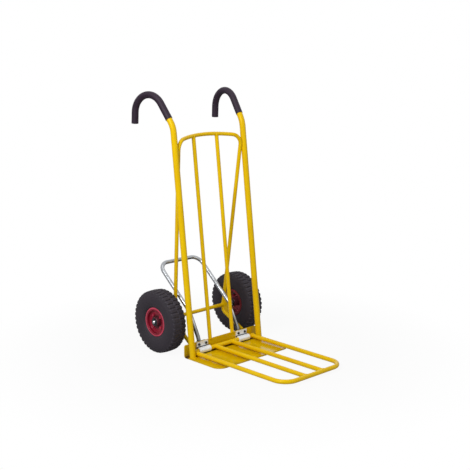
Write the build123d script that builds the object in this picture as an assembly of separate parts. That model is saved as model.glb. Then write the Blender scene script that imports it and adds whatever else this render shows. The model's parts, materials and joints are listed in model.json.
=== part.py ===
from build123d import *
import os
from math import cos, radians, sin, sqrt, tan

# Sack truck with hooked handles, a folding load frame, a tilt bar and pneumatic wheels.
# Millimetres. Seen from the load side X runs to the right, the load side faces -Y, Z is up.
# The origin is on the floor, on the centre plane, where the axes of the rails meet the floor.

# Rails and hooked handles
rail_od = 25.4
rail_wall = 2.0
rail_spacing = 383.0
rail_lean = 6.5
handle_bend_height = 945.0
handle_bend_radius = 90.0
handle_slope = 35.5
handle_slope_length = 86.0
handle_hook_radius = 78.0
handle_end_angle = 177.0
handle_drop = 44.0
handle_splay = 8.8

# Grips
grip_wall = 1.6
grip_fit = 0.1
grip_start = 12.0
grip_end_wall = 3.0
grip_end_round = 2.0

# Toe plate, one bent sheet
plate_thickness = 6.0
plate_width = 412.0
plate_front = 173.0
plate_corner_radius = 38.0
plate_bend_radius = 4.0
flange_front = 33.0
flange_height = 53.0
flange_corner_radius = 8.0

# Back frame
back_od = 16.0
back_wall = 2.0
bow_weld_height = 845.0
bow_set_back = 3.0
bow_weld_flat = 1.4
bow_corner_height = 886.0
bow_corner_radius = 42.0
bow_sweep = 22.0
bow_tilt = 18.0
bow_straight = 2.0
brace_spacing = 278.0
brace_drop = 24.0
brace_bend_radius = 30.0
strut_spacing = 304.0
strut_height = 26.0
slat_spacing = 128.0
saddle_depth = 4.0
gusset_reach = 82.0
gusset_nose = 6.0
gusset_thickness = 4.0

# Axle
axle_back = 173.0
axle_od = 16.0
collar_od = 28.0
collar_width = 5.5
axle_chamfer = 3.0
pin_od = 4.0
pin_eye_od = 9.0
pin_past_axle = 6.0
pin_from_washer = 0.6
axle_past_pin = 2.0

# Folding load frame
load_od = 18.0
load_wall = 2.0
load_width = 335.0
load_front = 498.5
load_corner_radius = 60.0
load_bar_spacing = 94.6
pivot_gap = 0.3

# Hinge straps and their bolts
strap_thickness = 4.0
strap_width = 62.0
strap_spacing = 226.0
strap_top_margin = 0.5
strap_rest_gap = 0.1
strap_slit = 1.0
bolt_od = 6.0
bolt_hole_gap = 0.25
bolt_head_af = 10.0
bolt_head_height = 4.0
bolt_nut_height = 5.0
bolt_past_nut = 2.0
bolt_spacing = 38.0
bolt_height = 43.0

# Tilt bar
tilt_od = 17.0
tilt_wall = 2.0
tilt_weld_flat = 0.8
tilt_foot_width = 52.0
tilt_foot_thickness = 5.0
tilt_foot_bottom = 8.0
tilt_lower_bend_height = 55.0
tilt_bend_radius = 60.0
tilt_kink_back = 111.0
tilt_kink_height = 166.0
tilt_top_back = 308.0
tilt_top_height = 336.0
tilt_corner_radius = 45.0

# Wheels
wheel_od = 266.0
wheel_spacing = 442.0
tyre_width = 76.0
tyre_widest_drop = 36.0
tyre_shoulder_drop = 9.5
tyre_shoulder_half = 31.5
tyre_wall = 5.5
tread_thickness = 9.0
lug_height = 7.0
lug_count = 40
lug_width = 12.0
lug_inner = 3.0
lug_side_out = 1.2
lug_side_drop = 3.0
bead_width = 8.0
wall_foot_slope = (0.9, 0.5)
wall_shoulder_slope = (-0.6, 0.8)
lip_clearance = 0.6
tyre_fit = 0.1
tube_wall = 2.0
tube_fit = 0.4
rim_seat_od = 101.6
rim_lip_od = 122.0
rim_width = 54.0
rim_joint_out = 13.0
rim_sheet = 2.0
rim_bend_radius = 4.0
rim_edge_radius = 0.9
valve_od = 8.0
valve_hole_gap = 0.5
valve_from_lip = 13.0
valve_reach = 13.0
valve_cap_od = 10.0
valve_cap_length = 7.0
valve_cap_wall = 1.5
hub_od = 38.0
hub_length = 58.0
hub_fit = 0.05
hub_chamfer = 1.5
bush_od = 24.0
bush_length = 24.0
bush_gap = 0.05
washer_od = 34.0
washer_thickness = 2.0
washer_gap = 0.3
washer_bore_gap = 0.2
rim_bolt_count = 4
rim_bolt_circle = 66.0
rim_bolt_od = 8.0
rim_bolt_hole_gap = 0.25
rim_bolt_af = 13.0
rim_bolt_head = 5.3
rim_nut_height = 6.5
rim_bolt_past_nut = 2.0

# Places worked out from the sizes above
sides = {"left": -1, "right": 1}
rail_x = rail_spacing / 2
flange_rear = flange_front + plate_thickness
pivot_y = flange_front - strap_thickness - pivot_gap - load_od / 2
pivot_z = plate_thickness + strap_rest_gap + strap_thickness + pivot_gap + load_od / 2
axle_z = wheel_od / 2
wheel_x = wheel_spacing / 2
hub_half = hub_length / 2
washer_out = hub_half + washer_gap + washer_thickness
pin_at = washer_out + pin_from_washer + pin_od / 2
axle_end = wheel_x + pin_at + pin_od / 2 + axle_past_pin
collar_end = wheel_x - washer_out - washer_gap
tilt_x = strap_spacing / 2
foot_rear = flange_rear + tilt_foot_thickness
tyre_widest_radius = wheel_od / 2 - tyre_widest_drop
tyre_shoulder_radius = wheel_od / 2 - tyre_shoulder_drop
rim_joint = Pos(rim_joint_out, 0, 0)
valve_end = rim_seat_od / 2 - rim_sheet - valve_reach
big = 4 * plate_width


def lean_y(height):
    return height * tan(radians(rail_lean))


# How far a bend of this radius reaches along the runs on each side of its corner
def bend_reach(before, corner, after, radius):
    turn = (corner - before).get_angle(after - corner)
    return radius * tan(radians(turn / 2))


# Straight runs joined by tangent arcs, one radius for each inner corner
def bent_path(points, radii):
    edges = []
    start = points[0]
    for before, corner, after, radius in zip(points, points[1:], points[2:], radii):
        into = (corner - before).normalized()
        out = (after - corner).normalized()
        half = radians(into.get_angle(out) / 2)
        first = corner - into * radius * tan(half)
        last = corner + out * radius * tan(half)
        middle = corner + (out - into).normalized() * (radius / cos(half) - radius)
        edges += [Line(start, first), ThreePointArc(first, middle, last)]
        start = last
    edges.append(Line(start, points[-1]))
    return Wire(edges)


def section_plane(path):
    return Plane(origin=path @ 0, z_dir=path % 0)


def rod(path, od):
    return sweep(section_plane(path) * Circle(od / 2), path)


def tube(path, od, wall):
    return sweep(section_plane(path) * (Circle(od / 2) - Circle(od / 2 - wall)), path)


# Everything below a height, used to cut tube ends flat
def below(height):
    return Pos(0, 0, height - big / 2) * Box(big, big, big)


# Everything in front of a depth
def in_front(depth):
    return Pos(0, depth - big / 2, 0) * Box(big, big, big)


# A bar along X between two places
def cross_bar(x_from, x_to, y, z, od):
    return rod(Wire([Line((x_from, y, z), (x_to, y, z))]), od)


# A hexagon bar along X or Y, given by the plane that its near face lies on
def hexagon(plane, across_flats, height):
    return extrude(plane * RegularPolygon(across_flats / 2, 6, major_radius=False), height)


def round_bar(plane, od, length):
    return extrude(plane * Circle(od / 2), length)


# Unit vector in the plane of a handle, at an angle from straight up
def handle_direction(side, angle):
    flat = sin(radians(angle))
    out = side * sin(radians(handle_splay)) * flat
    back = cos(radians(handle_splay)) * flat
    return Vector(out, back, cos(radians(angle)))


# The foot on the floor line, the two bends and the end of one rail
def rail_points(side):
    foot = Vector(side * rail_x, 0, 0)
    bend = Vector(side * rail_x, lean_y(handle_bend_height), handle_bend_height)
    slope = handle_direction(side, handle_slope)
    drop = handle_direction(side, handle_end_angle)
    reach = bend_reach(foot, bend, bend + slope, handle_bend_radius)
    hook_reach = bend_reach(bend - slope, bend, bend + drop, handle_hook_radius)
    hook = bend + slope * (reach + handle_slope_length + hook_reach)
    end = hook + drop * (hook_reach + handle_drop)
    return foot, bend, hook, end


def rail(side):
    return tube(rail_path(side), rail_od, rail_wall) - below(plate_thickness)


# A sleeve over the hook, closed at its end
def grip(side):
    foot, bend, hook, end = rail_points(side)
    slope = (hook - bend).normalized()
    drop = (end - hook).normalized()
    reach = bend_reach(foot, bend, hook, handle_bend_radius)
    start = bend + slope * (reach + grip_start)
    bore = rail_od + 2 * grip_fit
    closed_end = end + drop * grip_end_wall
    skin = rod(bent_path([start, hook, closed_end], [handle_hook_radius]), bore + 2 * grip_wall)
    rim = skin.edges().group_by(Axis.Z)[0]
    skin = fillet(rim, grip_end_round)
    return skin - rod(bent_path([start, hook, end], [handle_hook_radius]), bore)


# The weld to the rail, the axle and the flange fix the legs of the bow
def bow_corner():
    weld_x = rail_x - (rail_od + back_od) / 2 + bow_weld_flat
    weld = Vector(weld_x, lean_y(bow_weld_height) + bow_set_back, bow_weld_height)
    axle = Vector(brace_spacing / 2, axle_back, axle_z)
    leg = weld - axle
    corner = weld + leg * ((bow_corner_height - bow_weld_height) / leg.Z)
    bend = axle - leg * (brace_drop / leg.Z)
    return corner, bend


def mirrored(point):
    return Vector(-point.X, point.Y, point.Z)


# The point on the centre plane where the tangents of the bow meet
def bow_crown(corner):
    back = corner.X * tan(radians(bow_sweep))
    return Vector(0, corner.Y + back, corner.Z + back * tan(radians(bow_tilt)))


# The largest arc that fits between the two upper corners
def bow_radius():
    corner, bend = bow_corner()
    crown = bow_crown(corner)
    used = bend_reach(bend, corner, crown, bow_corner_radius) + bow_straight
    half = (crown - corner).get_angle(mirrored(corner) - crown) / 2
    return ((crown - corner).length - used) / tan(radians(half))


# The way down the strut from the bend at the axle to the flange
def strut_run(bend):
    return Vector(strut_spacing / 2, flange_rear, strut_height) - bend


def bow_path():
    corner, bend = bow_corner()
    crown = bow_crown(corner)
    strut = strut_run(bend)
    strut_end = bend + strut + strut.normalized() * back_od
    half = [strut_end, bend, corner]
    points = half + [crown] + [mirrored(p) for p in reversed(half)]
    radii = [brace_bend_radius, bow_corner_radius, bow_radius(), bow_corner_radius, brace_bend_radius]
    return bent_path(points, radii)


# The middle of the bow at a distance from the centre plane
def bow_point(x):
    corner, bend = bow_corner()
    crown = bow_crown(corner)
    rise = crown - corner
    rise.X = 0
    half = radians((crown - corner).get_angle(mirrored(corner) - crown) / 2)
    radius = bow_radius()
    sag = radius / cos(half) - sqrt(radius ** 2 - x ** 2)
    middle = crown - rise.normalized() * sag
    return Vector(x, middle.Y, middle.Z)


def solid_bow():
    return rod(bow_path(), back_od)


def rail_path(side):
    return bent_path(rail_points(side), [handle_bend_radius, handle_hook_radius])


def solid_rails():
    return [rod(rail_path(side), rail_od) for side in sides.values()]


def back_bow():
    return tube(bow_path(), back_od, back_wall) - in_front(flange_rear) - solid_rails()


# A plate in the angle of the brace, blunt where it ends on the leg and on the strut
def brace_gusset(side):
    corner, bend = bow_corner()
    up = (corner - bend).normalized()
    down = strut_run(bend).normalized()
    from_leg = (down - up * up.dot(down)).normalized() * (back_od / 2 + gusset_nose)
    from_strut = (up - down * up.dot(down)).normalized() * (back_od / 2 + gusset_nose)
    top = bend + up * gusset_reach
    foot = bend + down * gusset_reach
    outline = Polyline(bend, top, top + from_leg, foot + from_strut, foot, close=True)
    plate = extrude(make_face(outline), gusset_thickness / 2, both=True) - solid_bow()
    return plate if side > 0 else mirror(plate, Plane.YZ)


# A slat stands on the top edge of the flange and ends in a saddle under the bow
def slat(side):
    foot = Vector(side * slat_spacing / 2, flange_front + plate_thickness / 2, flange_height)
    top = bow_point(side * slat_spacing / 2)
    run = (top - foot).normalized()
    path = Wire([Line(foot - run * back_od, top)])
    return tube(path, back_od, back_wall) - below(flange_height) - solid_bow()


def axle_cross_tube():
    half = (brace_spacing - back_od) / 2 + saddle_depth
    path = Wire([Line((-half, axle_back, axle_z), (half, axle_back, axle_z))])
    return tube(path, back_od, back_wall) - solid_bow()


def stub_axle(side):
    start = (brace_spacing + back_od) / 2 - saddle_depth
    bar = cross_bar(start, axle_end, axle_back, axle_z, axle_od)
    tip = bar.edges().group_by(Axis.X)[-1]
    bar = chamfer(tip, axle_chamfer)
    hole = Plane((wheel_x + pin_at, axle_back, axle_z - axle_od), z_dir=(0, 0, 1))
    bar = bar - round_bar(hole, pin_od + 2 * bush_gap, 2 * axle_od)
    bar = bar - solid_bow()
    return bar if side > 0 else mirror(bar, Plane.YZ)


# A ring round the axle, from its inner to its outer face
def axle_ring(x_from, width, od, bore):
    plane = Plane((x_from, axle_back, axle_z), z_dir=(1, 0, 0))
    return round_bar(plane, od, width) - round_bar(plane, bore, width)


def on_both_sides(shape):
    return Compound([shape, mirror(shape, Plane.YZ)])


def axle_collars():
    ring = axle_ring(collar_end - collar_width, collar_width, collar_od, axle_od + 2 * hub_fit)
    return on_both_sides(ring)


def hub_washers():
    bore = axle_od + 2 * washer_bore_gap
    rings = [axle_ring(wheel_x - washer_out, washer_thickness, washer_od, bore)]
    rings.append(axle_ring(wheel_x + washer_out - washer_thickness, washer_thickness, washer_od, bore))
    return Compound(rings + [mirror(ring, Plane.YZ) for ring in rings])


# A pin with a ring eye, dropped through the end of the axle
def split_pins():
    top = axle_z + axle_od / 2 + pin_past_axle
    foot = axle_z - axle_od / 2 - pin_past_axle
    shank = round_bar(Plane((wheel_x + pin_at, axle_back, foot), z_dir=(0, 0, 1)), pin_od, top - foot)
    eye = Rot(0, 90, 0) * Torus(pin_eye_od / 2 - pin_od / 4, pin_od / 2)
    eye = Pos(wheel_x + pin_at, axle_back, top + pin_eye_od / 4) * eye
    return on_both_sides(shank + eye)


# The places of the hinge bolts, four in a row across the flange
def bolt_places():
    return [s * strap_spacing / 2 + o * bolt_spacing / 2 for s in sides.values() for o in (-1, 1)]


def bolt_row(depth, od, length):
    return [round_bar(Plane((x, depth, bolt_height), z_dir=(0, 1, 0)), od, length) for x in bolt_places()]


def toe_plate():
    outline = Polyline(
        (-plate_front, 0),
        (flange_rear, 0),
        (flange_rear, flange_height),
        (flange_front, flange_height),
        (flange_front, plate_thickness),
        (-plate_front, plate_thickness),
        close=True,
    )
    face = Plane.YZ * make_face(outline)
    sheet = extrude(face, plate_width / 2, both=True)
    along = sheet.edges().filter_by(Axis.X)
    outer = along.sort_by_distance((0, flange_rear, 0))[0]
    sheet = fillet(outer, plate_bend_radius + plate_thickness)
    inner = sheet.edges().filter_by(Axis.X).sort_by_distance((0, flange_front, plate_thickness))[0]
    sheet = fillet(inner, plate_bend_radius)
    front = sheet.edges().filter_by(Axis.Z).group_by(Axis.Y)[0]
    sheet = fillet(front, plate_corner_radius)
    top = sheet.edges().filter_by(Axis.Y).group_by(Axis.Z)[-1]
    sheet = fillet(top, flange_corner_radius)
    return sheet - bolt_row(flange_front, bolt_od + 2 * bolt_hole_gap, plate_thickness)


# A strap bolted to the flange that goes down behind the pivot tube, under it and up round its front.
# Its end stops short of the leaf by a slit
def hinge_strap(side):
    inner = load_od / 2 + pivot_gap
    outer = inner + strap_thickness
    top = flange_height - strap_top_margin
    leaf = Rectangle(strap_thickness, top - pivot_z, align=(Align.MAX, Align.MIN))
    leaf = Pos(flange_front, pivot_z) * leaf
    end = Vector(inner - strap_slit, sqrt(outer ** 2 - (inner - strap_slit) ** 2))
    mouth = make_face(Polyline((0, 0), (2 * outer, 0), end * 2, close=True))
    curl = Pos(pivot_y, pivot_z) * (Circle(outer) - Circle(inner) - mouth)
    strap = extrude(Plane.YZ * (leaf + curl), strap_width / 2, both=True)
    strap = Pos(side * strap_spacing / 2, 0, 0) * strap
    return strap - bolt_row(flange_front - strap_thickness, bolt_od + 2 * bolt_hole_gap, strap_thickness)


def hinge_bolts():
    face = flange_front - strap_thickness
    length = foot_rear - face + bolt_nut_height + bolt_past_nut
    bolts = []
    for x in bolt_places():
        head = hexagon(Plane((x, face, bolt_height), z_dir=(0, -1, 0)), bolt_head_af, bolt_head_height)
        bolts.append(head + round_bar(Plane((x, face, bolt_height), z_dir=(0, 1, 0)), bolt_od, length))
    return Compound(bolts)


def hinge_nuts():
    nuts = []
    for x in bolt_places():
        plane = Plane((x, foot_rear, bolt_height), z_dir=(0, 1, 0))
        nut = hexagon(plane, bolt_head_af, bolt_nut_height)
        nuts.append(nut - round_bar(plane, bolt_od + 2 * hub_fit, bolt_nut_height))
    return Compound(nuts)


def tilt_foot(side):
    height = flange_height - tilt_foot_bottom
    middle = Pos(side * tilt_x, flange_rear + tilt_foot_thickness / 2, tilt_foot_bottom + height / 2)
    plate = middle * Box(tilt_foot_width, tilt_foot_thickness, height)
    return plate - bolt_row(flange_rear, bolt_od + 2 * bolt_hole_gap, tilt_foot_thickness)


# Up from the feet, back over the axle, and across between the wheels
def tilt_bar():
    leg_y = foot_rear + tilt_od / 2 - tilt_weld_flat
    leg = [
        Vector(tilt_x, leg_y, tilt_foot_bottom),
        Vector(tilt_x, leg_y, tilt_lower_bend_height),
        Vector(tilt_x, tilt_kink_back, tilt_kink_height),
        Vector(tilt_x, tilt_top_back, tilt_top_height),
    ]
    radii = [tilt_bend_radius, tilt_bend_radius, tilt_corner_radius]
    path = bent_path(leg + [mirrored(p) for p in reversed(leg)], radii + radii[::-1])
    return tube(path, tilt_od, tilt_wall) - in_front(foot_rear)


def load_path():
    half = load_width / 2
    end_y = pivot_y - load_od / 2 + saddle_depth
    points = [Vector(-half, end_y, pivot_z), Vector(-half, -load_front, pivot_z)]
    points += [mirrored(p) for p in reversed(points)]
    return bent_path(points, [load_corner_radius] * 2)


def solid_pivot():
    half = (load_width + load_od) / 2
    return cross_bar(-half, half, pivot_y, pivot_z, load_od)


def load_hoop():
    return tube(load_path(), load_od, load_wall) - solid_pivot()


def load_pivot_tube():
    half = (load_width + load_od) / 2
    return solid_pivot() - cross_bar(-half, half, pivot_y, pivot_z, load_od - 2 * load_wall)


def load_bar(side):
    x = side * load_bar_spacing / 2
    inset = load_od / 2 - saddle_depth
    path = Wire([Line((x, pivot_y - inset, pivot_z), (x, -load_front + inset, pivot_z))])
    return tube(path, load_od, load_wall) - solid_pivot() - rod(load_path(), load_od)


# Wheel sections are drawn with the distance along the axle first and the radius second
def turned(section):
    return revolve(section, Axis.X)


# One half of the rim: a disc on the joint, the seat of the bead and a lip
def rim_half(depth):
    bore = hub_od / 2 + hub_fit
    seat = rim_seat_od / 2
    outline = Polyline(
        (0, bore),
        (0, seat),
        (depth, seat),
        (depth, rim_lip_od / 2),
        (depth + rim_sheet, rim_lip_od / 2),
        (depth + rim_sheet, seat - rim_sheet),
        (rim_sheet, seat - rim_sheet),
        (rim_sheet, bore),
        close=True,
    )
    section = make_face(outline)
    rounds = [
        ((0, seat), rim_bend_radius + rim_sheet),
        ((rim_sheet, seat - rim_sheet), rim_bend_radius),
        ((depth + rim_sheet, seat - rim_sheet), rim_sheet + rim_edge_radius),
        ((depth, rim_lip_od / 2), rim_edge_radius),
        ((depth + rim_sheet, rim_lip_od / 2), rim_edge_radius),
    ]
    for place, radius in rounds:
        section = fillet(section.vertices().sort_by_distance(place)[0], radius)
    disc = turned(section)
    for turn in range(rim_bolt_count):
        disc = disc - rim_bolt_at(turn, 0, rim_bolt_od + 2 * rim_bolt_hole_gap, rim_sheet)
    return disc


# A round bar along the axle at one of the rim bolts
def rim_bolt_plane(turn, along):
    angle = radians(360 * turn / rim_bolt_count + 180 / rim_bolt_count)
    radius = rim_bolt_circle / 2
    return Plane((along, radius * sin(angle), radius * cos(angle)), z_dir=(1, 0, 0))


def rim_bolt_at(turn, along, od, length):
    return round_bar(rim_bolt_plane(turn, along), od, length)


def rim_bolts():
    bolts = []
    shank = 2 * rim_sheet + rim_nut_height + rim_bolt_past_nut
    for turn in range(rim_bolt_count):
        head = hexagon(rim_bolt_plane(turn, rim_sheet), rim_bolt_af, rim_bolt_head)
        bolts.append(head + rim_bolt_at(turn, rim_sheet - shank, rim_bolt_od, shank))
    return rim_joint * Compound(bolts)


def rim_nuts():
    nuts = []
    for turn in range(rim_bolt_count):
        nut = hexagon(rim_bolt_plane(turn, -rim_sheet - rim_nut_height), rim_bolt_af, rim_nut_height)
        hole = rim_bolt_at(turn, -rim_sheet - rim_nut_height, rim_bolt_od + 2 * hub_fit, rim_nut_height)
        nuts.append(nut - hole)
    return rim_joint * Compound(nuts)


# The hole that the valve stem comes through, and the stem's axis
def valve_plane(radius):
    along = valve_from_lip - rim_width / 2
    return Plane((along, 0, radius), z_dir=(0, 0, -1))


def outer_rim():
    return rim_joint * rim_half(rim_width / 2 - rim_joint_out)


# The deep half faces the frame and carries the valve
def inner_rim():
    half = rim_joint * mirror(rim_half(rim_width / 2 + rim_joint_out), Plane.YZ)
    return half - round_bar(valve_plane(rim_seat_od / 2), valve_od + 2 * valve_hole_gap, 2 * rim_sheet)


# One side wall of the tyre, from the bead past the widest place to the shoulder
def side_wall(foot, widest, shoulder):
    return Spline(foot, widest, shoulder, tangents=(wall_foot_slope, wall_shoulder_slope))


# A closed outline from one bead over the crown to the other, with a flat foot
def tyre_outline(foot_half, foot_radius, wall_radius, widest, shoulder, crown):
    foot = Line((foot_half, foot_radius), (foot_half, wall_radius))
    wall = side_wall((foot_half, wall_radius), (widest, tyre_widest_radius), shoulder)
    right = [foot, wall]
    left = [mirror(edge, Plane.YZ) for edge in right]
    top = ThreePointArc(shoulder, (0, crown), (-shoulder[0], shoulder[1]))
    base = Line((-foot_half, foot_radius), (foot_half, foot_radius))
    return make_face(right + left + [top, base])


# The space inside the casing and above the rim, drawn in by a gap all round
def air_space(gap):
    toe = rim_width / 2 - tyre_fit - bead_width - gap
    widest = tyre_width / 2 - tyre_wall - gap
    shoulder = (tyre_shoulder_half - tyre_wall - gap, tyre_shoulder_radius - tread_thickness - gap)
    crown = wheel_od / 2 - lug_height - tread_thickness - gap
    return tyre_outline(toe, rim_seat_od / 2 + tyre_fit + gap, rim_lip_od / 2, widest, shoulder, crown)


def tyre_casing():
    lip = rim_width / 2 - tyre_fit
    shoulder = (tyre_shoulder_half, tyre_shoulder_radius)
    crown = wheel_od / 2 - lug_height
    above_lip = rim_lip_od / 2 + lip_clearance
    outside = tyre_outline(lip, rim_seat_od / 2 + tyre_fit, above_lip, tyre_width / 2, shoulder, crown)
    return turned(outside - air_space(0))


# A thin tube that fills the casing, with its stem through the rim
def inner_tube():
    ring = turned(air_space(tube_fit) - air_space(tube_fit + tube_wall))
    root = rim_seat_od / 2 + tyre_fit + tube_fit + tube_wall / 2
    return ring + round_bar(valve_plane(root), valve_od, root - valve_end)


def valve_cap():
    top = valve_end + valve_cap_length - valve_cap_wall
    cap = round_bar(valve_plane(top), valve_cap_od, valve_cap_length)
    return cap - round_bar(valve_plane(top), valve_od + 2 * hub_fit, valve_cap_length - valve_cap_wall)


# One block of the tread, from near the middle to the side of the shoulder
def lug(row, turn):
    tread = sqrt((wheel_od / 2) ** 2 - (lug_width / 2) ** 2)
    side = tyre_shoulder_half + lug_side_out
    edge = Polyline(
        (lug_inner, wheel_od / 2 - lug_height - tread_thickness / 2),
        (lug_inner, tread),
        (tyre_shoulder_half - lug_height / 2, tread - lug_height / 4),
        (side, tyre_shoulder_radius + lug_height / 4),
        (side + lug_side_out, tyre_shoulder_radius - lug_side_drop),
        (tyre_shoulder_half - tyre_wall / 2, tyre_shoulder_radius - tread_thickness / 2),
        close=True,
    )
    block = extrude(Plane.XZ * make_face(edge), lug_width / 2, both=True)
    block = block if row > 0 else mirror(block, Plane.YZ)
    step = 360 / lug_count
    return Rot(X=turn * step + (step / 2 if row > 0 else 0)) * block


def tyre():
    lugs = [lug(row, turn) for row in (-1, 1) for turn in range(lug_count)]
    return tyre_casing() + lugs


def hub():
    plane = Plane((-hub_half, 0, 0), z_dir=(1, 0, 0))
    body = round_bar(plane, hub_od, hub_length)
    body = chamfer(body.edges(), hub_chamfer)
    return body - round_bar(plane, bush_od, hub_length)


def hub_bushes():
    bushes = []
    for start in (-hub_half, hub_half - bush_length):
        plane = Plane((start, 0, 0), z_dir=(1, 0, 0))
        ring = round_bar(plane, bush_od - 2 * hub_fit, bush_length)
        bushes.append(ring - round_bar(plane, axle_od + 2 * bush_gap, bush_length))
    return Compound(bushes)


def export(name, shape):
    export_step(shape, "parts/" + name + ".step")


os.makedirs("parts", exist_ok=True)
for word, side in sides.items():
    export(word + "_rail", rail(side))
    export(word + "_grip", grip(side))
    export(word + "_slat", slat(side))
    export(word + "_brace_gusset", brace_gusset(side))
    export(word + "_stub_axle", stub_axle(side))
    export(word + "_hinge_strap", hinge_strap(side))
    export(word + "_tilt_bar_foot", tilt_foot(side))
    export(word + "_load_bar", load_bar(side))
export("back_bow", back_bow())
export("axle_cross_tube", axle_cross_tube())
export("axle_collars", axle_collars())
export("hub_washers", hub_washers())
export("split_pins", split_pins())
export("toe_plate", toe_plate())
export("hinge_bolts", hinge_bolts())
export("hinge_nuts", hinge_nuts())
export("tilt_bar", tilt_bar())
export("load_frame_hoop", load_hoop())
export("load_frame_pivot_tube", load_pivot_tube())
wheel_pieces = {
    "outer_rim": outer_rim(),
    "inner_rim": inner_rim(),
    "rim_bolts": rim_bolts(),
    "rim_nuts": rim_nuts(),
    "hub": hub(),
    "hub_bushes": hub_bushes(),
    "tyre": tyre(),
    "inner_tube": inner_tube(),
    "valve_cap": valve_cap(),
}
for word, side in sides.items():
    place = Pos(side * wheel_x, axle_back, axle_z) * Rot(Z=0 if side > 0 else 180)
    for piece, shape in wheel_pieces.items():
        export(word + "_" + piece, place * shape)
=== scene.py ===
import bmesh
import bpy
import json
import numpy as np
from math import pi, radians, tan
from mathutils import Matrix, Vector


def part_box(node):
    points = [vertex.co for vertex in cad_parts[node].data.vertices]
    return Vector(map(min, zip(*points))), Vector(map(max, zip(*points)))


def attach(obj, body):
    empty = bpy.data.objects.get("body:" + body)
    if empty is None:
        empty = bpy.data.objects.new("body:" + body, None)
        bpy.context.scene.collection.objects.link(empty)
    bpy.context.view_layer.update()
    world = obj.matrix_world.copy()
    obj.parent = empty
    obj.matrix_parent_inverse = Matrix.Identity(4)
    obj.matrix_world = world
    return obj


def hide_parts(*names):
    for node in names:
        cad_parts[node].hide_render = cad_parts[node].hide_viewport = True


# Sack truck on its CAD frame, in metres: load side -Y, right +X, up +Z

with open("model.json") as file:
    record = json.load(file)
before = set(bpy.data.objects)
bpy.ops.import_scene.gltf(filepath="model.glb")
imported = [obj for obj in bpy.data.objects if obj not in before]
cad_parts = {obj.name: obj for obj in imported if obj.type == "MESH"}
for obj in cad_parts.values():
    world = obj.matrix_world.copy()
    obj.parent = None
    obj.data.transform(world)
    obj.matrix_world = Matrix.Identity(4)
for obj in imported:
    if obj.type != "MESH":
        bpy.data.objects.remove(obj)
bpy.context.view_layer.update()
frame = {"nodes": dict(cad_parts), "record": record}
nodes = frame["nodes"]
mm = 0.001
sides = {"left": -1, "right": 1}
# joint places and node boxes in millimetres
jointAt = {joint["name"]: np.array(joint["pos_m"]) / mm for joint in frame["record"]["behaviour"]["joints"]}
wheelAt = {word: jointAt[word + "_wheel_spin"] for word in sides}


def boxOf(name):
    low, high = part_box(name)
    return np.array(low) / mm, np.array(high) / mm


print("frame loaded:", len(nodes), "nodes")


# sRGB hex to linear: the foot of the curve is divided by 12.92, the rest is a power of 2.4
def hexColour(code):
    share = np.array([int(code[i:i + 2], 16) for i in (0, 2, 4)]) / 255
    linear = np.where(share <= 0.04045, share / 12.92, ((share + 0.055) / 1.055) ** 2.4)
    return (*linear.tolist(), 1.0)


# one node with its settings; an input takes a plain value or another node's output
def addNode(tree, kind, inputs, **settings):
    node = tree.nodes.new("ShaderNode" + kind)
    for key, value in settings.items():
        setattr(node, key, value)
    for key, value in inputs.items():
        if isinstance(value, bpy.types.NodeSocket):
            tree.links.new(value, node.inputs[key])
        else:
            node.inputs[key].default_value = value
    return node


def newMaterial(name):
    material = bpy.data.materials.new(name)
    material.use_nodes = True
    tree = material.node_tree
    place = addNode(tree, "TexCoord", {}).outputs["Object"]
    return material, tree, tree.nodes["Principled BSDF"], place


# noise through the piece, its features of a size in millimetres
def noiseOf(tree, place, size, detail, roughness=0.5):
    inputs = {"Vector": place, "Scale": 1 / (size * mm), "Detail": detail, "Roughness": roughness}
    return addNode(tree, "TexNoise", inputs).outputs[0]


# most of a noise lies in this span
noiseSpan = (0.3, 0.7)


# a value carried from one span to another, and held at its ends
def spread(tree, value, span, target=(0.0, 1.0)):
    inputs = {"Value": value, "From Min": span[0], "From Max": span[1],
              "To Min": target[0], "To Max": target[1]}
    return addNode(tree, "MapRange", inputs).outputs[0]


# the colours of a Mix node are its inputs 6 and 7 and its output 2
def mixColour(tree, share, first, second, blend="MIX"):
    inputs = {0: share, 6: first, 7: second}
    return addNode(tree, "Mix", inputs, data_type="RGBA", blend_type=blend).outputs[2]


# a colour multiplied by a tint for each distance from a line along X, from stops of (millimetres, hex)
def ringTint(tree, place, colour, axis, rings):
    inputs = {"Vector": place, "Location": (0, -axis[0] * mm, -axis[1] * mm), "Scale": (0, 1, 1)}
    across = addNode(tree, "Mapping", inputs)
    radius = addNode(tree, "VectorMath", {0: across.outputs[0]}, operation="LENGTH")
    outermost = rings[-1][0]
    ramp = addNode(tree, "ValToRGB", {"Fac": spread(tree, radius.outputs["Value"], (0.0, outermost * mm))})
    stops = ramp.color_ramp.elements
    stops[0].color, stops[1].color = hexColour(rings[0][1]), hexColour(rings[-1][1])
    for reach, code in rings[1:-1]:
        stops.new(reach / outermost).color = hexColour(code)
    return mixColour(tree, 1.0, colour, ramp.outputs["Color"], "MULTIPLY")


# what every finish ends with: its colour under any tints, its roughness, and a fine relief on rounded edges
def setSurface(tree, shader, place, s, colour, rough, relief, depth):
    for axis, rings in s.get("tints", ()):
        colour = ringTint(tree, place, colour, axis, rings)
    edge = addNode(tree, "Bevel", {"Radius": s["edgeMm"] * mm}, samples=6)
    inputs = {"Strength": 1.0, "Distance": depth * mm, "Height": relief, "Normal": edge.outputs[0]}
    bump = addNode(tree, "Bump", inputs)
    for key, value in (("Base Color", colour), ("Roughness", rough), ("Normal", bump.outputs[0])):
        tree.links.new(value, shader.inputs[key])


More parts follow.
